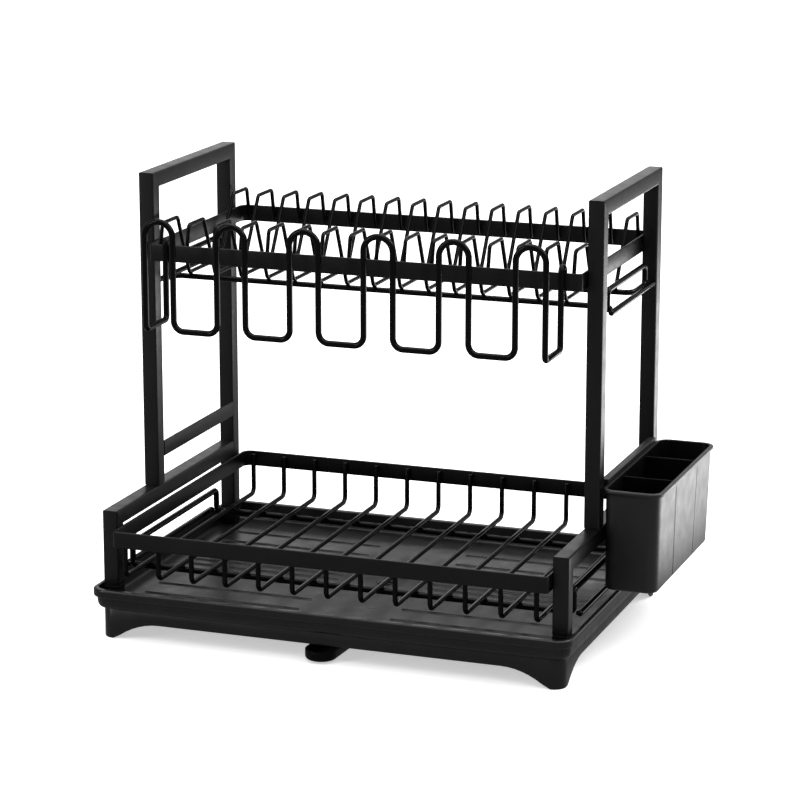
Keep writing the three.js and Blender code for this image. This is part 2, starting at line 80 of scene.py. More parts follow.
PLATE_WIRE = 3.5
PLATE_CREST_END = 94.5
PLATE_CREST_START = 62.5
PLATE_FRONT_DIP = 38.6
PLATE_REAR_DIP = 29.5
PLATE_BEND = 4.0
BASKET_WIRE = 4.4
BASKET_BEND = 6.0
UPPER_BASE_WIRE = 5.0
UPPER_BASE_RUNS = (8.8, 72.4)
LOWER_BASE_WIRE = 5.4
LOWER_BASE_RUNS = (-93.0, 93.0)
HANDLE_BEND = 5.0
JOG_BEND = 8.0
BUTT_HALF_GAP = 0.05

# Half-sizes of the weld beads
PLATE_RIM_BEAD = (PLATE_WIRE * 0.6, 0.8, 1.8)
PLATE_BASE_BEAD = (PLATE_WIRE * 0.55, 1.7, 0.9)
BASKET_RIM_BEAD = (BASKET_WIRE * 0.6, 0.9, 1.5)
BASKET_BASE_BEAD = (BASKET_WIRE * 0.55, 2.1, 1.1)

CUP_WIRE = 5.4
CUP_LOOPS = 6
CUP_PITCH = 66.5
CUP_LOOP_WIDTH = 26.0
CUP_CREST_BEND = 12.9
CUP_VALLEY_BEND = 9.0
CUP_END_BEND = 4.0
CUP_HOOK_DROP = 6.0
CUP_HOOK_CLEARANCE = 0.5

FLOOR_TOP = 30.0
FLOOR_UNDER = 27.0
LIP_LOW = 38.0
LIP_CORNER = 14.0
BODY_HALF = Vector((215.0, 150.5))
SKIRT_HALF = Vector((210.0, 145.5))
SKIRT_WALL = 2.5
BASIN_HALF = Vector((213.0, 149.0))
BASIN_TAPER = 1.5
ARCH_HEIGHT = 15.5
ARCH_RUN = 42.0
FOOT_LENGTH = Vector((13.0, 15.0))
RIB_ROWS = (7.0, 71.0, 100.5)
RIB_START = 42.0
RIB_END = 188.0
RIB_WIDTH = 1.8
RIB_HEIGHT = 1.2
DRAIN_RADIUS = 7.0
DISH_RADIUS = 20.0
BOSS_RADIUS = 9.0
BOSS_LOW = 18.0
BEAD_RADIUS = 10.4
STRAINER_HALF_BAR = 1.0

SPOUT_LOW = 2.0
SPOUT_TOP = 11.0
SPOUT_WIDTH = 28.0
SPOUT_REACH = 153.0
SPOUT_WALL = 1.8
SPOUT_CUP_RADIUS = 17.0
SPOUT_COLLAR_LOW = 20.6
SPOUT_REST_ANGLE = math.radians(2.7)

HOLDER_TOP = 147.5
HOLDER_LIP = 2.2
HOLDER_LIP_HEIGHT = 3.5
HOLDER_WALL = 1.8
HOLDER_TAPER = 2.6
HOLDER_CORNER = 12.0
HOLDER_GAP = 0.6
DIVIDER_OFFSET = 35.5
DIVIDER_DROP = 2.0
GROOVE_DROP = 6.5
FLANGE = 1.6
FLANGE_END_GAP = 2.5
FLANGE_DROP = 9.0

# Angles between the stations of a bend, and those past which an edge is shaded sharp, in degrees
WIRE_ARC_STEP = 7.5
CUP_ARC_STEP = 6.0
METAL_SHARP = 32
PLASTIC_SHARP = 40
HOLDER_SHARP = 38

# ---------------------------------------------------------------- node materials

NOISE_RANGE = (0.3, 0.7)
TONE_PATCH = 38.0
TONE_SPREAD = 0.25
GLOSS_PATCH = 14.0
GLOSS_SPREAD = 0.05


def material(name, base, roughness, ior, peel, grain):
    """A dark surface with slow waves (peel) and fine grain, each a (size, depth) in mm."""
    made = bpy.data.materials.new(name)
    made.use_nodes = True
    nodes, links = made.node_tree.nodes, made.node_tree.links
    shader = nodes["Principled BSDF"]
    shader.inputs["IOR"].default_value = ior
    where = nodes.new("ShaderNodeTexCoord")

    def noise(size, detail):
        texture = nodes.new("ShaderNodeTexNoise")
        texture.inputs["Scale"].default_value = 1 / (size * MM)
        texture.inputs["Detail"].default_value = detail
        links.new(where.outputs["Object"], texture.inputs["Vector"])
        return texture.outputs["Fac"]

    def spread(source, low, high):
        scaled = nodes.new("ShaderNodeMapRange")
        scaled.inputs["From Min"].default_value = NOISE_RANGE[0]
        scaled.inputs["From Max"].default_value = NOISE_RANGE[1]
        scaled.inputs["To Min"].default_value = low
        scaled.inputs["To Max"].default_value = high
        links.new(source, scaled.inputs["Value"])
        return scaled.outputs["Result"]

    def bump(source, depth, below=None):
        raised = nodes.new("ShaderNodeBump")
        raised.inputs["Distance"].default_value = depth * MM
        links.new(source, raised.inputs["Height"])
        if below is not None:
            links.new(below, raised.inputs["Normal"])
        return raised.outputs["Normal"]

    tone = nodes.new("ShaderNodeMix")
    tone.data_type = "RGBA"
    tone.inputs["A"].default_value = (*[c * (1 - TONE_SPREAD) for c in base], 1)
    tone.inputs["B"].default_value = (*[c * (1 + TONE_SPREAD) for c in base], 1)
    links.new(spread(noise(TONE_PATCH, 4), 0, 1), tone.inputs["Factor"])
    links.new(tone.outputs["Result"], shader.inputs["Base Color"])
    gloss = spread(noise(GLOSS_PATCH, 5), roughness - GLOSS_SPREAD, roughness + GLOSS_SPREAD)
    links.new(gloss, shader.inputs["Roughness"])
    wavy = bump(noise(peel[0], 2), peel[1])
    links.new(bump(noise(grain[0], 3), grain[1], wavy), shader.inputs["Normal"])
    return made


# Base colours, then each material's name, base, roughness, refraction, slow waves and grain
COATING = (0.002, 0.002, 0.0021)
WIRE_COATING = (0.001, 0.001, 0.0011)
MOULDED = (0.003, 0.003, 0.0031)
# The next base is painted shade: a black darker than the moulded plastic, for the spout under the
# tray and the inside of the cutlery holder
SHADED = (0.001, 0.001, 0.001)
FOOT_BLACK = (0.002, 0.002, 0.002)
COATED_TUBE = material("coated_tube", COATING, 0.36, 1.36, (1.6, 0.025), (0.35, 0.012))
COATED_BAND = material("coated_band", COATING, 0.34, 1.32, (1.8, 0.02), (0.35, 0.01))
COATED_WIRE = material("coated_wire", WIRE_COATING, 0.14, 1.2, (2.4, 0.03), (0.6, 0.006))
TRAY_PLASTIC = material("tray_plastic", MOULDED, 0.32, 1.4, (3.5, 0.012), (0.22, 0.008))
HOLDER_PLASTIC = material("holder_plastic", MOULDED, 0.45, 1.52, (4, 0.01), (0.2, 0.012))
# A darker copy of the tray plastic, whose black paints the shade under the tray and inside the
# cutlery holder
PAINTED_SHADE_PLASTIC = material("painted_shade_plastic", SHADED, 0.4, 1.16, (3.5, 0.012), (0.22, 0.008))
FOOT_PLASTIC = material("foot_plastic", FOOT_BLACK, 0.5, 1.22, (3, 0.01), (0.25, 0.014))

# ---------------------------------------------------------------- mesh helpers


class Form:
    """Vertices and faces of one piece, in millimetres."""

    def __init__(self):
        self.points = []
        self.faces = []

    def ring(self, points):
        start = len(self.points)
        self.points.extend(Vector(p) for p in points)
        return list(range(start, len(self.points)))

    def bridge(self, a, b, closed=True):
        count = len(a)
        for i in range(count if closed else count - 1):
            j = (i + 1) % count
            self.faces.append((a[i], a[j], b[j], b[i]))

    def loft(self, rings, cap_start=False, cap_end=False, loop=False):
        """Joins rings of equal length into a skin, and returns their vertex numbers."""
        numbered = [self.ring(points) for points in rings]
        for a, b in zip(numbered, numbered[1:]):
            self.bridge(a, b)
        if loop:
            self.bridge(numbered[-1], numbered[0])
        if cap_start:
            self.faces.append(tuple(reversed(numbered[0])))
        if cap_end:
            self.faces.append(tuple(numbered[-1]))
        return numbered

    def fill_between(self, outer, inner):
        """Fills the flat face between an outer ring and a hole in it."""
        work = bmesh.new()
        made = {i: work.verts.new(self.points[i]) for i in [*outer, *inner]}
        names = {vert: i for i, vert in made.items()}
        edges = []
        for loop in (outer, inner):
            for i, j in zip(loop, [*loop[1:], loop[0]]):
                edges.append(work.edges.new((made[i], made[j])))
        bmesh.ops.triangle_fill(work, use_beauty=True, use_dissolve=False, edges=edges)
        for face in work.faces:
            self.faces.append(tuple(names[vert] for vert in face.verts))
        work.free()


def piece(name, form, surface, body, nodes=(), sharp=METAL_SHARP):
    """Turns a form into a Blender object that rides on a body and stands for its CAD nodes."""
    mesh = bpy.data.meshes.new(name)
    mesh.from_pydata([p * MM for p in form.points], [], form.faces)
    work = bmesh.new()
    work.from_mesh(mesh)
    bmesh.ops.recalc_face_normals(work, faces=work.faces)
    work.to_mesh(mesh)
    work.free()
    mesh.shade_smooth()
    mesh.set_sharp_from_angle(angle=math.radians(sharp))
    mesh.materials.append(surface)
    made = bpy.data.objects.new(name, mesh)
    bpy.context.scene.collection.objects.link(made)
    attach(made, body)
    if nodes:
        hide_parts(*nodes)
    return made


def bent_path(corners, arc_step=WIRE_ARC_STEP):
    """Stations (point, direction) of a path through (x, y, z, bend radius), its bends as arcs."""
    points = [Vector(c[:3]) for c in corners]
    way = [(b - a).normalized() for a, b in zip(points, points[1:])]
    stations = [(points[0], way[0])]
    for i in range(1, len(points) - 1):
        before, after, radius = way[i - 1], way[i], corners[i][3]
        angle = before.angle(after)
        start = points[i] - before * radius * math.tan(angle / 2)
        inward = (after - before * math.cos(angle)).normalized()
        steps = max(1, math.ceil(angle / math.radians(arc_step)))
        for k in range(steps + 1):
            turn = angle * k / steps
            along, across = math.sin(turn), 1 - math.cos(turn)
            point = start + before * radius * along + inward * radius * across
            stations.append((point, before * math.cos(turn) + inward * math.sin(turn)))
    stations.append((points[-1], way[-1]))
    return stations


def sweep(form, stations, diameter, sides, dome=0.35):
    """Adds a round rod along a path. Its ends are domed by a share of the radius."""
    radius = diameter / 2
    (first, first_way), (last, last_way) = stations[0], stations[-1]
    rise = radius * dome
    ends = []
    for shrink in (0.35, 0.7, 0.92):
        ends.append((shrink, rise * (1 - math.sqrt(1 - shrink * shrink))))
    course = [(first + first_way * lift, first_way, shrink) for shrink, lift in ends]
    course.append((first + first_way * rise, first_way, 1))
    course += [(point, direction, 1) for point, direction in stations[1:-1]]
    course.append((last - last_way * rise, last_way, 1))
    course += [(last - last_way * lift, last_way, shrink) for shrink, lift in reversed(ends)]
    normal = first_way.orthogonal().normalized()
    rings = []
    for point, direction, scale in course:
        normal = (normal - direction * normal.dot(direction)).normalized()
        side = direction.cross(normal)
        ring = []
        for k in range(sides):
            angle = 2 * math.pi * k / sides
            out = normal * math.cos(angle) + side * math.sin(angle)
            ring.append(point + out * radius * scale)
        rings.append(ring)
    form.loft(rings, cap_start=True, cap_end=True)


def rounded_rectangle(low, high, radius, steps, extra_y=(), front_radius=None):
    """Stations ((x, y), outward (x, y)) round a rectangle, anticlockwise from its right side.

    Its front corners take front_radius, if given, and its right side has more stations at extra_y.
    """
    stations = []
    front = front_radius or radius
    corners = (
        (high[0] - radius, high[1] - radius, radius, 0),
        (low[0] + radius, high[1] - radius, radius, 90),
        (low[0] + front, low[1] + front, front, 180),
        (high[0] - front, low[1] + front, front, 270),
    )
    for x, y, bend, start in corners:
        for k in range(steps + 1):
            angle = math.radians(start + 90 * k / steps)
            out = Vector((math.cos(angle), math.sin(angle)))
            stations.append((Vector((x, y)) + out * bend, out))
    for y in extra_y:
        stations.append((Vector((high[0], y)), Vector((1, 0))))
    return stations


def arc_points(centre, radius, start, end, steps):
    """Points of an arc in a profile plane, with angles in degrees."""
    made = []
    for k in range(steps + 1):
        angle = math.radians(start + (end - start) * k / steps)
        made.append((centre[0] + radius * math.cos(angle), centre[1] + radius * math.sin(angle)))
    return made


def rounded_section(low, high, edge, steps):
    """Points of a rectangular section with rounded edges, anticlockwise from its right side."""
    section = []
    for x, y, start in (
        (high[0] - edge, high[1] - edge, 0),
        (low[0] + edge, high[1] - edge, 90),
        (low[0] + edge, low[1] + edge, 180),
        (high[0] - edge, low[1] + edge, 270),
    ):
        section += arc_points((x, y), edge, start, start + 90, steps)
    return section


def lathe(form, profile, x, y, sides=48):
    """Adds a turned skin about a vertical axis from (radius, z) points, and returns its rings."""
    rings = []
    for radius, z in profile:
        ring = []
        for k in range(sides):
            angle = 2 * math.pi * k / sides
            ring.append((x + radius * math.cos(angle), y + radius * math.sin(angle), z))
        rings.append(ring)
    return form.loft(rings)


def bead(form, centre, size, sides=12, rows=6):
    """Adds a small rounded weld bead, an ellipsoid of half-sizes size."""
    rings = []
    for k in range(1, rows):
        polar = math.pi * k / rows
        ring = []
        for j in range(sides):
            angle = 2 * math.pi * j / sides
            offset = Vector((
                size[0] * math.sin(polar) * math.cos(angle),
                size[1] * math.sin(polar) * math.sin(angle),
                size[2] * math.cos(polar),
            ))
            ring.append(Vector(centre) + offset)
        rings.append(ring)
    form.loft(rings, cap_start=True, cap_end=True)


# ---------------------------------------------------------------- side frames


def square_length(form, edge_a, edge_b, x):
    """A length of square tube between two long edges, each given by its ends in (y, z)."""
    half = TUBE / 2
    section = rounded_section((-half, -half), (half, half), TUBE_EDGE, steps=5)
    rings = []
    for a, b in zip(edge_a, edge_b):
        ring = []
        for across, n in section:
            point = Vector(a).lerp(Vector(b), 0.5 + n / TUBE)
            ring.append((x + across, point.x, point.y))
        rings.append(ring)
    form.loft(rings, cap_start=True, cap_end=True)


def side_frame(side):
    """Five lengths of tube, mitred or butted, with the cutlery rail and the two foot caps."""
    rail_low, rail_high = cad_box(f"{side}_top_rail")
    x = (rail_low.x + rail_high.x) / 2
    post_low, _ = cad_box(f"{side}_front_post")
    lower_low, lower_high = cad_box(f"{side}_lower_rail")
    upright_low, _ = cad_box(f"{side}_front_upright")
    rear_low, rear_high = cad_box(f"{side}_rear_upright")
    front, foot = post_low.y, post_low.z
    low, high = lower_low.z, lower_high.z
    mid, rear, back = upright_low.y, rear_low.y, rear_high.y
    seam = TUBE_SEAM
    lengths = {
        "front_post": (
            ((front, foot), (front, high - seam)),
            ((front + TUBE, foot), (front + TUBE, low - seam)),
        ),
        "lower_rail": (
            ((front + seam, high), (rear - seam, high)),
            ((front + TUBE + seam, low), (rear - seam, low)),
        ),
        "front_upright": (
            ((mid, upright_low.z), (mid, FRAME_TOP - seam)),
            ((mid + TUBE, upright_low.z), (mid + TUBE, FRAME_TOP - TUBE - seam)),
        ),
        "top_rail": (
            ((mid + seam, FRAME_TOP), (back - seam, FRAME_TOP)),
            ((mid + TUBE + seam, FRAME_TOP - TUBE), (rear - seam, FRAME_TOP - TUBE)),
        ),
        "rear_upright": (
            ((rear, foot), (rear, FRAME_TOP - TUBE - seam)),
            ((back, foot), (back, FRAME_TOP - seam)),
        ),
    }
    for name, (edge_a, edge_b) in lengths.items():
        form = Form()
        square_length(form, edge_a, edge_b, x)
        node = f"{side}_{name}"
        piece(f"{node}_tube", form, COATED_TUBE, "rack", [node])
    cutlery_rail(side)
    for end in ("front", "rear"):
        foot_cap(side, end)


def cutlery_rail(side):
    """A flat bar between the uprights, with rounded long edges."""
    node = f"{side}_cutlery_rail"
    low, high = cad_box(node)
    section = rounded_section((low.x, low.z), (high.x, high.z), RAIL_EDGE, steps=4)
    rings = [[(x, y, z) for x, z in section] for y in (low.y, high.y)]
    form = Form()
    form.loft(rings, cap_start=True, cap_end=True)
    piece(f"{node}_strip", form, COATED_BAND, "rack", [node])


def foot_cap(side, end):
    """A moulded end cap with a soft foot and a shallow groove below the end of the tube."""
    node = f"{side}_{end}_foot_cap"
    low, high = cad_box(node)
    # (inset, height) above the underside for the foot, and against the top for the collar
    foot = ((1.6, 0), (0.7, 0.25), (0.2, 0.9), (0, 1.8))
    collar = ((0, -4.2), (0.25, -3.9), (0.25, -3.4), (0, -3.1), (0, -0.4), (0.4, 0))
    levels = [(inset, low.z + height) for inset, height in foot]
    levels += [(inset, high.z + height) for inset, height in collar]
    rings = []
    for inset, z in levels:
        near, far = (low.x + inset, low.y + inset), (high.x - inset, high.y - inset)
        plan = rounded_rectangle(near, far, TUBE_EDGE, steps=4)
        rings.append([(p.x, p.y, z) for p, _ in plan])
    form = Form()
    form.loft(rings, cap_start=True, cap_end=True)
    piece(f"{node}_plug", form, FOOT_PLASTIC, "rack", [node])


# ---------------------------------------------------------------- rims


def rim(node):
    """Flat band bent round the tier, with rounded edges and a butt weld at the back."""
    low, high = cad_box(node)
    plan = rounded_rectangle(
        (low.x, low.y), (high.x, high.y), BAND_REAR_CORNER, 12, front_radius=BAND_FRONT_CORNER,
    )
    profile = rounded_section((-BAND, low.z), (0, high.z), BAND_EDGE, steps=4)
    rings = []
    for point, out in plan:
        rings.append([(point.x + out.x * d, point.y + out.y * d, z) for d, z in profile])
    form = Form()
    form.loft(rings, loop=True)
    weld_size = (0.9, BAND / 2 + 0.15, (high.z - low.z) / 2 - 0.6)
    bead(form, (RACK_X, high.y - BAND / 2, (low.z + high.z) / 2), weld_size)
    piece(f"{node}_band", form, COATED_BAND, "rack", [node])


# ---------------------------------------------------------------- wires of both tiers

PLATE_NODES = sorted(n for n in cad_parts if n.startswith("plate_wire_"))
BASKET_NODES = sorted(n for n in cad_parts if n.startswith("basket_wire_"))


def middle_x(node):
    low, high = cad_box(node)
    return (low.x + high.x) / 2


def plate_wire(node):
    """One plate wire: a loop at the front and one at the rear, with a dip between them."""
    x = middle_x(node)
    low, high = cad_box(node)
    crest, floor = high.z - PLATE_WIRE / 2, low.z + PLATE_WIRE / 2
    weld = UPPER_RIM_HIGH.y - UPPER_Y - BAND - GAP / 2 - PLATE_WIRE / 2

    def half(sign, dip):
        """Corners from the weld on one side of the rim to the dip beside the middle."""
        corners = ((weld, UPPER_RIM_LOW.z + 2, 0), (PLATE_CREST_END, crest, PLATE_BEND))
        corners += ((PLATE_CREST_START, crest, PLATE_BEND), (dip, floor, PLATE_BEND))
        return [(x, UPPER_Y + sign * y, z, bend) for y, z, bend in corners]

    form = Form()
    path = half(-1, PLATE_FRONT_DIP) + half(1, PLATE_REAR_DIP)[::-1]
    sweep(form, bent_path(path), PLATE_WIRE, sides=18)
    for sign in (-1, 1):
        inner = UPPER_Y + sign * (UPPER_RIM_HIGH.y - UPPER_Y - BAND - GAP)
        bead(form, (x, inner, UPPER_RIM_LOW.z + 4), PLATE_RIM_BEAD)
    for y in UPPER_BASE_RUNS:
        bead(form, (x, y, floor - PLATE_WIRE / 2), PLATE_BASE_BEAD)
    piece(f"{node}_rod", form, COATED_WIRE, "rack", [node])


def basket_wire(node):
    """One U-shaped wire of the lower basket, welded to the rim and to the base ring."""
    x = middle_x(node)
    low, high = cad_box(BASKET_NODES[0])
    floor, top = low.z + BASKET_WIRE / 2, high.z
    # The wire stands a little past its CAD solid, to close the gap to the rim
    proud = 0.2
    reach = high.y - BASKET_WIRE / 2 + proud
    path = [(x, -reach, top, 0), (x, -reach, floor, BASKET_BEND)]
    path += [(x, reach, floor, BASKET_BEND), (x, reach, top, 0)]
    form = Form()
    sweep(form, bent_path(path), BASKET_WIRE, sides=20)
    _, base_high = cad_box("lower_base_wire")
    for sign in (-1, 1):
        for z in (LOWER_RIM_LOW.z + 1.6, top - 1.5):
            bead(form, (x, sign * (reach + BASKET_WIRE / 2 - proud), z), BASKET_RIM_BEAD)
        base = sign * (base_high.y - LOWER_BASE_WIRE / 2)
        bead(form, (x, base, floor - BASKET_WIRE / 2), BASKET_BASE_BEAD)
    piece(f"{node}_rod", form, COATED_WIRE, "rack", [node])


def base_wire(node, runs, diameter):
    """A ring of two runs under the tier and a raised handle at each end, with one butt weld."""
    low, high = cad_box(node)
    x_reach = high.x - RACK_X - diameter / 2
    z, top = low.z + diameter / 2, high.z - diameter / 2
    handles = (low.y + diameter / 2, high.y - diameter / 2)
    corners = []
    for index, (sx, end) in enumerate(((1, 0), (1, 1), (-1, 1), (-1, 0))):
        x, run, handle = RACK_X + sx * x_reach, runs[end], handles[end]
        leg = [(x, run, z, JOG_BEND)] if abs(run - handle) > 1 else []
        leg += [(x, handle, z, HANDLE_BEND), (x, handle, top, HANDLE_BEND)]
        corners += leg if index % 2 == 0 else leg[::-1]
    butt_right, butt_left = RACK_X + BUTT_HALF_GAP, RACK_X - BUTT_HALF_GAP
    path = [(butt_right, runs[0], z, 0), *corners, (butt_left, runs[0], z, 0)]
    form = Form()
    sweep(form, bent_path(path), diameter, sides=22, dome=0.05)
    bead(form, (RACK_X, runs[0], z), (1.1, diameter * 0.54, diameter * 0.54), sides=18)
    piece(f"{node}_rod", form, COATED_WIRE, "rack", [node])


def side_rod(node, diameter):
    """A straight rod beside a handle, welded to the base ring at both ends."""
    low, high = cad_box(node)
    x, z = (low.x + high.x) / 2, (low.z + high.z) / 2
    form = Form()
    sweep(form, bent_path([(x, low.y, z, 0), (x, high.y, z, 0)]), diameter, sides=22, dome=0.9)
    tier = node.split("_")[0]
    base_low, base_high = cad_box(f"{tier}_base_wire")
    toward = -1 if x > RACK_X else 1
    for y in (base_low.y + diameter / 2, base_high.y - diameter / 2):
        bead(form, (x + toward * diameter / 2, y, z), (0.9, 2.0, diameter * 0.42))
    piece(f"{node}_rod", form, COATED_WIRE, "rack", [node])


# ---------------------------------------------------------------- cup holder


def cup_holder():
    """One bent wire: a hook over the upper rim at each end and six loops between them."""
    low, high = cad_box("cup_holder")
    radius = CUP_WIRE / 2
    hook_radius = BAND / 2 + GAP + radius
    band_middle = UPPER_RIM_LOW.y + BAND / 2
    standing, behind = band_middle - hook_radius, band_middle + hook_radius
    hook_top = UPPER_RIM_HIGH.z + CUP_HOOK_CLEARANCE + hook_radius
    # A half turn of exactly this radius would leave no straight between its two bends
    hook_bend = hook_radius - 0.02
    front = low.y + radius
    crest, valley = high.z - radius, low.z + radius
    first = RACK_X - (CUP_LOOPS - 1) * CUP_PITCH / 2

    def hook(x):
        return [
            (x, behind, UPPER_RIM_HIGH.z - CUP_HOOK_DROP, 0),
            (x, behind, hook_top, hook_bend),
            (x, standing, hook_top, hook_bend),
            (x, standing, valley, CUP_END_BEND),
            (x, front, valley, CUP_END_BEND),
        ]

    path = hook(first - CUP_LOOP_WIDTH / 2)
    for i in range(CUP_LOOPS):
        left = first + i * CUP_PITCH - CUP_LOOP_WIDTH / 2
        right = left + CUP_LOOP_WIDTH
        path += [(left, front, crest, CUP_CREST_BEND), (right, front, crest, CUP_CREST_BEND)]
        if i < CUP_LOOPS - 1:
            following = right + CUP_PITCH - CUP_LOOP_WIDTH
            path.append((right, front, valley, CUP_VALLEY_BEND))
            path.append((following, front, valley, CUP_VALLEY_BEND))
    path += hook(first + (CUP_LOOPS - 1) * CUP_PITCH + CUP_LOOP_WIDTH / 2)[::-1]
    form = Form()
    sweep(form, bent_path(path, CUP_ARC_STEP), CUP_WIRE, sides=24, dome=0.9)
    piece("cup_holder_rod", form, COATED_WIRE, "cup_holder", ["cup_holder"])


# ---------------------------------------------------------------- drip tray


def arch_height(distance, half_span):
    """Height of the skirt's lower edge at a distance from the middle of its side."""
    rise = (half_span - abs(distance)) / ARCH_RUN
    if rise <= 0:
        return 0.0
    rise = min(rise, 1)
    return ARCH_HEIGHT * (1 - (1 - rise) ** 2.1)


def tray_plan(half, radius, straight=64, turned=12):
    """Points round the tray, dense along its sides, so that the arches of its skirt are smooth."""
    points = []
    x, y = half[0], half[1]
    near_x, near_y = x - radius, y - radius
    sides = (
        ((x, -near_y), (x, near_y), (near_x, near_y), 0),
        ((near_x, y), (-near_x, y), (-near_x, near_y), 90),
        ((-x, near_y), (-x, -near_y), (-near_x, -near_y), 180),
        ((-near_x, -y), (near_x, -y), (near_x, -near_y), 270),
    )
    for start, end, centre, angle in sides:
        for k in range(straight):
            points.append(Vector(start).lerp(Vector(end), k / straight))
        for k in range(turned):
            turn = math.radians(angle + 90 * k / turned)
            points.append(Vector(centre) + Vector((math.cos(turn), math.sin(turn))) * radius)
    return points


def tray_ring(half, radius, height):
    """One ring round the tray; height is a number, or a function of the point."""
    ring = []
    for point in tray_plan(half, radius):
        z = height(point) if callable(height) else height
        ring.append((RACK_X + point.x, point.y, z))
    return ring


def skirt_edge(extra):
    """Height function of the skirt's lower edge plus extra, with an arch on each side."""

    def height(point):
        along_x = arch_height(point.x, SKIRT_HALF.x - FOOT_LENGTH.x)
        along_y = arch_height(point.y, SKIRT_HALF.y - FOOT_LENGTH.y)
        front = abs(point.y) > SKIRT_HALF.y - LIP_CORNER
        side = abs(point.x) > SKIRT_HALF.x - LIP_CORNER
        lifted = along_x if front and not side else along_y if side and not front else 0.0
        return lifted + extra

    return height


def drip_tray():
    """The tray as one skin from its underside round the lip to the basin, and its ribs."""
    low, high = cad_box("drip_tray")
    lip_half = Vector(((high.x - low.x) / 2, (high.y - low.y) / 2))
    top = high.z

    def inset(half, amount):
        return (half[0] - amount, half[1] - amount)

    skirt_radius = LIP_CORNER - 3
    rings = []
    # (inset, height) down the inside of the skirt, round its lower edge and up its outside
    for amount, height in (
        (SKIRT_WALL, FLOOR_UNDER),
        (SKIRT_WALL, skirt_edge(0.6)),
        (SKIRT_WALL - 0.5, skirt_edge(0)),
        (0.6, skirt_edge(0)),
        (0.15, skirt_edge(0.25)),
        (0, skirt_edge(0.8)),
        (0, FLOOR_UNDER - 1.2),
        (0.5, FLOOR_UNDER - 0.5),
        (0.5, FLOOR_UNDER),
    ):
        rings.append(tray_ring(inset(SKIRT_HALF, amount), skirt_radius - amount, height))
    body_radius = LIP_CORNER - 2
    # The body flares out from the groove in a soft curve, up to the step under the lip
    for share, flare in ((0, 2.9), (0.04, 2.1), (0.14, 1.2), (0.32, 0.5), (0.6, 0.12), (1, 0)):
        z = FLOOR_UNDER + 0.3 + share * (LIP_LOW - FLOOR_UNDER - 0.6)
        rings.append(tray_ring(inset(BODY_HALF, flare), body_radius, z))
    lip_edge = 1.6
    for offset, z in arc_points((-lip_edge, LIP_LOW + lip_edge), lip_edge, -90, 0, 5):
        rings.append(tray_ring(inset(lip_half, -offset), LIP_CORNER, z))
    for offset, z in arc_points((-lip_edge, top - lip_edge), lip_edge, 0, 90, 5):
        rings.append(tray_ring(inset(lip_half, -offset), LIP_CORNER, z))
    basin_radius = LIP_CORNER - 4
    # The lip rolls over into the basin, whose wall leans in to a fillet at the floor
    drop = 1.2
    for k in range(5):
        turn = math.radians(90 * k / 4)
        spread = -drop * (1 - math.sin(turn))
        z = top - drop * (1 - math.cos(turn))
        rings.append(tray_ring(inset(BASIN_HALF, spread), basin_radius, z))
    fillet = 3.0
    floor_half = inset(BASIN_HALF, BASIN_TAPER)
    for k in range(6):
        turn = math.radians(90 * k / 5)
        rings.append(tray_ring(
            inset(floor_half, fillet * (1 - math.cos(turn))),
            basin_radius - 1,
            FLOOR_TOP + fillet * (1 - math.sin(turn)),
        ))
    form = Form()
    numbered = form.loft(rings)

    # Drain dish, strainer hole and the boss that the spout clips on
    dish = [(DISH_RADIUS + 1.2, FLOOR_TOP), (DISH_RADIUS + 0.2, FLOOR_TOP - 0.12)]
    dish += [(DISH_RADIUS - 1, FLOOR_TOP - 0.5), (DRAIN_RADIUS + 2.4, FLOOR_TOP - 1.2)]
    dish += [(DRAIN_RADIUS + 0.7, FLOOR_TOP - 1.3), (DRAIN_RADIUS, FLOOR_TOP - 1.9)]
    dish += [(DRAIN_RADIUS, BOSS_LOW + 0.4), (DRAIN_RADIUS + 0.4, BOSS_LOW)]
    dish += [(BEAD_RADIUS - 0.8, BOSS_LOW), (BEAD_RADIUS, BOSS_LOW + 0.8)]
    dish += [(BEAD_RADIUS, BOSS_LOW + 1.3), (BOSS_RADIUS, BOSS_LOW + 2.2)]
    dish += [(BOSS_RADIUS, FLOOR_UNDER - 0.6), (BOSS_RADIUS + 0.6, FLOOR_UNDER)]
    turned = lathe(form, dish, RACK_X, 0)
    form.fill_between(numbered[-1], turned[0])
    form.fill_between(numbered[0], turned[-1])
    own = ["drip_tray"]
    piece("drip_tray_shell", form, TRAY_PLASTIC, "tray", own, PLASTIC_SHARP)

    details = Form()
    for row in RIB_ROWS:
        for y in (-row, row):
            for sign in (-1, 1):
                floor_rib(details, RACK_X + sign * RIB_START, RACK_X + sign * RIB_END, y)
    strainer_cross(details)
    piece("drip_tray_ribs", details, TRAY_PLASTIC, "tray", (), PLASTIC_SHARP)


def floor_rib(form, x0, x1, y):
    """A raised bead on the tray floor, with round ends and a softened top."""
    x0, x1 = min(x0, x1), max(x0, x1)
    half = RIB_WIDTH / 2
    rings = []
    flank = ((-0.9, -0.1), (-0.35, 0.12), (0, 0.5), (0.12, 0.85), (0.45, 1.1), (0.75, RIB_HEIGHT))
    for inset, height in flank:
        plan = []
        for cx, start in ((x1 - half, -90), (x0 + half, 90)):
            for px, py in arc_points((cx, y), half - inset, start, start + 180, 10):
                plan.append((px, py, FLOOR_TOP + height))
        rings.append(plan)
    form.loft(rings, cap_end=True)


def strainer_cross(form):
    """Two bars across the drain hole."""
    reach = DRAIN_RADIUS + 0.3
    top = FLOOR_TOP - 1.45
    levels = ((0, FLOOR_UNDER - 0.9), (0, top - 0.45), (0.15, top - 0.15), (0.5, top))
    for turn in (0, 90):
        rings = []
        for inset, z in levels:
            half = STRAINER_HALF_BAR - inset
            plan = rounded_rectangle((-reach, -half), (reach, half), 0.3, 3)
            ring = []
            for p, _ in plan:
                x, y = (p.x, p.y) if turn == 0 else (-p.y, p.x)
                ring.append((RACK_X + x, y, z))
            rings.append(ring)
        form.loft(rings, cap_start=True, cap_end=True)


# ---------------------------------------------------------------- swivel spout


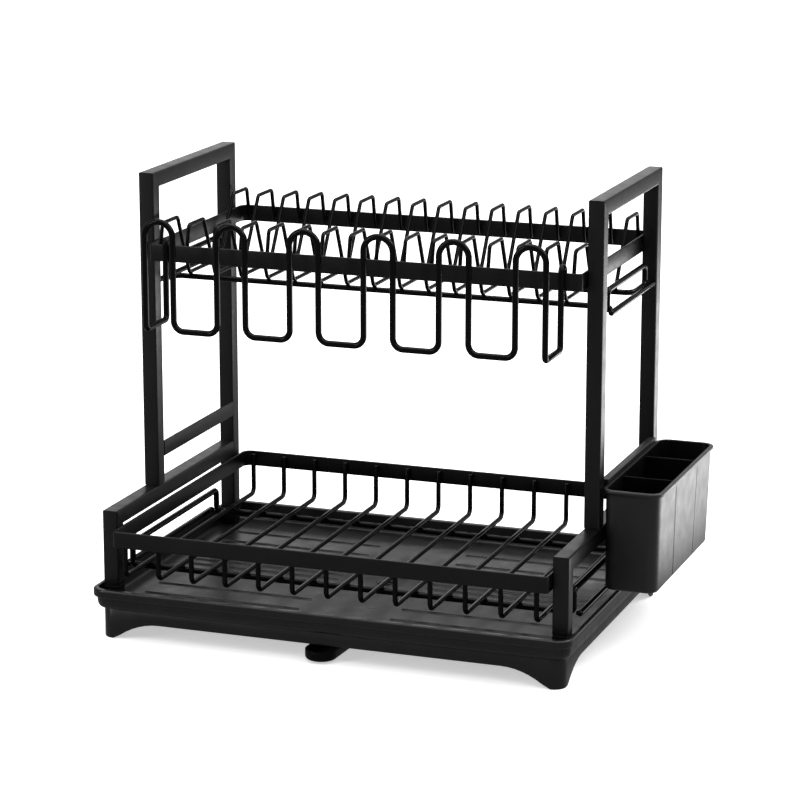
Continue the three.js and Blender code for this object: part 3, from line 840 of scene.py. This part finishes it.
def spout_point(x, y, z):
    """A point of the spout, turned about the drain to its rest angle."""
    cosine, sine = math.cos(-SPOUT_REST_ANGLE), math.sin(-SPOUT_REST_ANGLE)
    return (RACK_X + x * cosine - y * sine, x * sine + y * cosine, z)


def channel_ring(half, z, start=SPOUT_CUP_RADIUS - 1):
    """Open outline of the trough: down one side, round the tip and back up the other."""
    tip = SPOUT_WIDTH / 2 - SPOUT_REACH
    outline = [(-half, -start + (tip + start) * k / 12) for k in range(12)]
    outline += arc_points((0, tip), half, 180, 360, 32)
    outline += [(half, tip - (tip + start) * k / 12) for k in range(1, 13)]
    return [spout_point(x, y, z) for x, y in outline]


def drain_spout():
    """An open trough with a round cup under the drain, whose collar turns on the boss."""
    form = Form()
    half = SPOUT_WIDTH / 2
    inner = half - SPOUT_WALL
    floor = SPOUT_LOW + SPOUT_WALL
    fillet = 3.2
    shoulder = arc_points((0, SPOUT_LOW + fillet), fillet, -90, 0, 6)
    profile = [(half - fillet + dx, z) for dx, z in shoulder]
    soft_edge = ((0, 0.5), (0.15, 0.12), (0.5, 0))
    profile += [(half - amount, SPOUT_TOP - drop) for amount, drop in soft_edge]
    profile += [(inner + amount, SPOUT_TOP - drop) for amount, drop in reversed(soft_edge)]
    inner_fillet = fillet - 1
    hollow = arc_points((0, floor + inner_fillet), inner_fillet, 0, -90, 6)
    profile += [(inner - inner_fillet + dx, z) for dx, z in hollow]
    rings = [channel_ring(width, z) for width, z in profile]
    numbered = [form.ring(ring) for ring in rings]
    for a, b in zip(numbered, numbered[1:]):
        form.bridge(a, b, closed=False)
    form.faces.append(tuple(numbered[0]))
    form.faces.append(tuple(reversed(numbered[-1])))

    # Cup under the drain, open towards the trough, with the collar that turns on the boss
    cup_top = FLOOR_UNDER - GAP
    opening = math.asin(inner / SPOUT_CUP_RADIUS)
    outer_r, inner_r = SPOUT_CUP_RADIUS, SPOUT_CUP_RADIUS - SPOUT_WALL
    collar = BOSS_RADIUS + GAP
    shell = [(0.01, SPOUT_LOW), (outer_r - 1.5, SPOUT_LOW), (outer_r - 0.4, SPOUT_LOW + 0.4)]
    shell += [(outer_r, SPOUT_LOW + 1.5), (outer_r, SPOUT_TOP + 0.5)]
    hood = [(outer_r, SPOUT_TOP + 0.5), (outer_r, cup_top - 1), (outer_r - 0.3, cup_top - 0.3)]
    hood += [(outer_r - 1, cup_top), (collar + 0.6, cup_top), (collar, cup_top - 0.6)]
    hood += [(collar, SPOUT_COLLAR_LOW), (inner_r, SPOUT_COLLAR_LOW), (inner_r, SPOUT_TOP + 0.5)]
    bowl = [(inner_r, SPOUT_TOP + 0.5), (inner_r, floor), (0.01, floor)]

    def turned(profile_points, start, end, steps=56):
        strips = []
        for radius, z in profile_points:
            strips.append(form.ring([
                spout_point(radius * math.cos(a), radius * math.sin(a), z)
                for a in (start + (end - start) * k / steps for k in range(steps + 1))
            ]))
        for a, b in zip(strips, strips[1:]):
            form.bridge(a, b, closed=False)

    turned(hood, 0, 2 * math.pi)
    turned(shell, opening - math.pi / 2, 1.5 * math.pi - opening)
    turned(bowl, opening - math.pi / 2, 1.5 * math.pi - opening)
    own = ["drain_spout"]
    # The spout takes the darker plastic, a painted shade for its place under the tray
    piece("drain_spout_trough", form, PAINTED_SHADE_PLASTIC, "spout", own, PLASTIC_SHARP)


# ---------------------------------------------------------------- cutlery holder


def cutlery_holder():
    """The tub with its grooves and rolled rim, the lining with its dividers, and the flange."""
    _, rail_high = cad_box("right_cutlery_rail")
    low, high = cad_box("cutlery_holder")
    tub_low = Vector((rail_high.x + HOLDER_GAP, low.y, low.z))
    tub_high = Vector((high.x, high.y, HOLDER_TOP))
    middle = (tub_low + tub_high) / 2
    height = tub_high.z - tub_low.z
    walls = HOLDER_LIP + HOLDER_WALL
    dividers = [middle.y - DIVIDER_OFFSET, middle.y + DIVIDER_OFFSET]
    lean_run = 40
    groove_half, groove_depth = 1.1, 0.7
    groove_stations = []
    for y in dividers:
        groove_stations += [y + d * groove_half for d in (-1.3, -1, -0.55, 0, 0.55, 1, 1.3)]

    def ring(inset, z, grooved=False):
        """One ring of the tub; all walls but the one by the frame lean in towards the floor."""
        lean = HOLDER_TAPER * (tub_high.z - z) / height
        plan = rounded_rectangle(
            (tub_low.x + inset, tub_low.y + inset), (tub_high.x - inset, tub_high.y - inset),
            HOLDER_CORNER - inset, 10, groove_stations,
        )
        points = []
        for p, _ in plan:
            depth = 0.0
            if grooved and p.x > tub_high.x - inset - 0.01:
                for y in dividers:
                    away = abs(p.y - y) / groove_half
                    if away < 1:
                        depth = groove_depth * (1 - away * away)
            x = p.x - (lean if p.x > middle.x else 0) - depth
            # The end walls lean towards each other, and the shift fades out towards the middle
            y = p.y - math.copysign(lean, p.y - middle.y) * min(1, abs(p.y - middle.y) / lean_run)
            points.append((x, y, z))
        return points

    form = Form()
    floor_edge = 2.6
    rings = []
    for dx, dz in arc_points((0, 0), floor_edge, -90, 0, 5):
        rings.append(ring(HOLDER_LIP + floor_edge - dx, tub_low.z + floor_edge + dz, True))
    groove_top = tub_high.z - GROOVE_DROP
    rings.append(ring(HOLDER_LIP, groove_top - 1.5, True))
    rings.append(ring(HOLDER_LIP, groove_top))
    lip_low = tub_high.z - HOLDER_LIP_HEIGHT
    soft_edge = ((0, 0.9), (0.25, 0.25), (0.8, 0))
    for amount, drop in soft_edge:
        rings.append(ring(HOLDER_LIP - amount, lip_low - drop))
    edge = 1.1
    for dx, dz in arc_points((0, 0), edge, -90, 0, 4):
        rings.append(ring(edge - dx, lip_low + edge + dz))
    for dx, dz in arc_points((0, 0), edge, 0, 90, 4):
        rings.append(ring(edge - dx, tub_high.z - edge + dz))
    lining = [ring(walls - amount, tub_high.z - drop) for amount, drop in reversed(soft_edge)]
    form.loft([*rings, lining[0]], cap_start=True)
    own, body, slot = ["cutlery_holder"], "cutlery_holder", "tray_plastic"
    piece("cutlery_holder_tub", form, HOLDER_PLASTIC, body, own, HOLDER_SHARP)

    # The lining and the dividers take the darker plastic, a painted shade inside the tub
    inside = Form()
    fillet = 2.0
    inner_floor = tub_low.z + 2
    for dx, dz in arc_points((0, 0), fillet, 0, -90, 4):
        lining.append(ring(walls + fillet - dx, inner_floor + fillet + dz))
    inside.loft(lining, cap_end=True)
    for y in dividers:
        divider(inside, tub_low, tub_high, y, height, walls)
    piece("cutlery_holder_seats", inside, PAINTED_SHADE_PLASTIC, body, (), HOLDER_SHARP)

    flange = Form()
    rail_flange(flange, tub_low.x + HOLDER_LIP)
    piece("cutlery_holder_flange", flange, HOLDER_PLASTIC, body, (), HOLDER_SHARP)


def divider(form, tub_low, tub_high, y, height, walls):
    """A thin wall across the tub, with a rounded top edge."""
    rings = []
    bite = 0.8
    top = tub_high.z - DIVIDER_DROP
    rounding = ((top - 1, 0.9), (top - 0.4, 0.8), (top - 0.1, 0.5), (top, 0.15))
    for z, half in ((tub_low.z + 1, 1.1), *rounding):
        lean = HOLDER_TAPER * (tub_high.z - z) / height
        x0, x1 = tub_low.x + walls - bite, tub_high.x - walls - lean + bite
        y0, y1 = y - half, y + half
        rings.append([(x0, y0, z), (x1, y0, z), (x1, y1, z), (x0, y1, z)])
    form.loft(rings, cap_start=True, cap_end=True)


def rail_flange(form, wall_x):
    """A flange from the rim over the cutlery rail, between the uprights, with rounded edges."""
    rail_low, rail_high = cad_box("right_cutlery_rail")
    _, front_high = cad_box("right_front_upright")
    rear_low, _ = cad_box("right_rear_upright")
    y0, y1 = front_high.y + FLANGE_END_GAP, rear_low.y - FLANGE_END_GAP
    under = rail_high.z + GAP
    top = under + FLANGE
    hook_x = rail_low.x - GAP
    tip = top - FLANGE_DROP
    lip_low = HOLDER_TOP - HOLDER_LIP_HEIGHT
    edge = 0.7
    beside = rail_high.x + HOLDER_GAP
    outline = [(wall_x, lip_low), (beside, lip_low), (beside, under)]
    outline += [(hook_x, under), (hook_x, tip + 0.4), (hook_x - 0.4, tip)]
    outline += [(hook_x - FLANGE + 0.4, tip), (hook_x - FLANGE, tip + 0.4)]
    outline += arc_points((hook_x - FLANGE + edge, top - edge), edge, 180, 90, 4)
    outline += arc_points((wall_x - edge, top - edge), edge, 90, 0, 4)
    rings = []
    centre = Vector((wall_x - FLANGE, top - FLANGE))
    end_round, end_share = 0.35, 0.035
    stations = ((y0, end_share), (y0 + end_round, 0), (y1 - end_round, 0), (y1, end_share))
    for y, share in stations:
        corners = [Vector(corner).lerp(centre, share) for corner in outline]
        rings.append([(corner.x, y, corner.y) for corner in corners])
    form.loft(rings, cap_start=True, cap_end=True)


# ---------------------------------------------------------------- camera, light and floor

CAMERA_LENS = 136.8
CAMERA_PLACE = (0.87355, -2.4289, 0.83305)
CAMERA_DOWN = 13.81
CAMERA_TURN = 19.987
FLOOR_REACH = 14
ROOM_STRENGTH = 0.32
CEILING_DIRECTION = (-0.25, -0.1, -1)
CEILING_SPREAD = 100
CEILING_STRENGTH = 3.0

# Name, place, aim, size in metres and power in watts
AREA_LIGHTS = (
    ("key", (2.2, 1.2, 2.4), (0, 0, 0.2), (0.9, 0.9), 34),
    ("back_card", (-1.2, 3.6, 1.25), (0, 0, 0.1), (2.0, 0.8), 7),
    ("top", (-0.3, 0.3, 2.8), (0, 0, 0.2), (2.2, 1.6), 22),
    ("low_right", (0.8, 0.75, 0.02), (0.8, 0.75, 1), (1.0, 1.3), 20),
    ("strip", (-1.6, -1.9, 1.2), (0, 0, 0.2), (0.25, 1.6), 18),
)


def camera():
    """The photograph's view, as solved from its edges; the angles are in degrees."""
    data = bpy.data.cameras.new("photo_view")
    data.sensor_width = 36
    data.lens = CAMERA_LENS
    data.clip_end = 60
    made = bpy.data.objects.new("photo_view", data)
    made.location = CAMERA_PLACE
    made.rotation_euler = (math.radians(90 - CAMERA_DOWN), 0, math.radians(CAMERA_TURN))
    bpy.context.scene.collection.objects.link(made)
    bpy.context.scene.camera = made


def area_light(name, location, target, size, power):
    data = bpy.data.lights.new(name, "AREA")
    data.shape = "RECTANGLE"
    data.size, data.size_y = size
    data.energy = power
    made = bpy.data.objects.new(name, data)
    made.location = location
    made.rotation_euler = (Vector(target) - Vector(location)).to_track_quat("-Z", "Y").to_euler()
    bpy.context.scene.collection.objects.link(made)


def sun(name, direction, spread, strength):
    data = bpy.data.lights.new(name, "SUN")
    data.angle = spread
    data.energy = strength
    made = bpy.data.objects.new(name, data)
    made.rotation_euler = Vector(direction).to_track_quat("-Z", "Y").to_euler()
    bpy.context.scene.collection.objects.link(made)


def studio():
    """Soft light from above and the right, in a dim room, so that the black keeps its tone."""
    world = bpy.data.worlds.new("studio")
    world.use_nodes = True
    sky = world.node_tree.nodes["Background"]
    sky.inputs["Color"].default_value = (1, 1, 1, 1)
    sky.inputs["Strength"].default_value = ROOM_STRENGTH
    bpy.context.scene.world = world
    bpy.context.scene.view_settings.view_transform = "Standard"
    sun("ceiling", CEILING_DIRECTION, math.radians(CEILING_SPREAD), CEILING_STRENGTH)
    for light in AREA_LIGHTS:
        area_light(*light)
    floor_sheet()


def floor_sheet():
    """A pale floor that the black pieces don't mirror; its small glow lightens the shadow on it."""
    mesh = bpy.data.meshes.new("floor")
    reach = FLOOR_REACH
    corners = [(-reach, -reach, 0), (reach, -reach, 0), (reach, reach, 0), (-reach, reach, 0)]
    mesh.from_pydata(corners, [], [(0, 1, 2, 3)])
    floor = bpy.data.objects.new("floor", mesh)
    floor.visible_glossy = False
    paper = bpy.data.materials.new("floor_paper")
    paper.use_nodes = True
    shader = paper.node_tree.nodes["Principled BSDF"]
    shader.inputs["Base Color"].default_value = (0.9, 0.9, 0.9, 1)
    shader.inputs["Roughness"].default_value = 0.9
    shader.inputs["Specular IOR Level"].default_value = 0.1
    shader.inputs["Emission Color"].default_value = (1, 1, 1, 1)
    shader.inputs["Emission Strength"].default_value = 0.5
    mesh.materials.append(paper)
    bpy.context.scene.collection.objects.link(floor)


camera()
studio()
for frame_side in ("left", "right"):
    side_frame(frame_side)
for rim_node in ("upper_rim", "lower_rim"):
    rim(rim_node)
for wire_node in PLATE_NODES:
    plate_wire(wire_node)
for wire_node in BASKET_NODES:
    basket_wire(wire_node)
base_wire("upper_base_wire", UPPER_BASE_RUNS, UPPER_BASE_WIRE)
base_wire("lower_base_wire", LOWER_BASE_RUNS, LOWER_BASE_WIRE)
for frame_side in ("left", "right"):
    side_rod(f"upper_{frame_side}_side_rod", UPPER_BASE_WIRE)
    side_rod(f"lower_{frame_side}_side_rod", LOWER_BASE_WIRE)
cup_holder()
drip_tray()
drain_spout()
cutlery_holder()
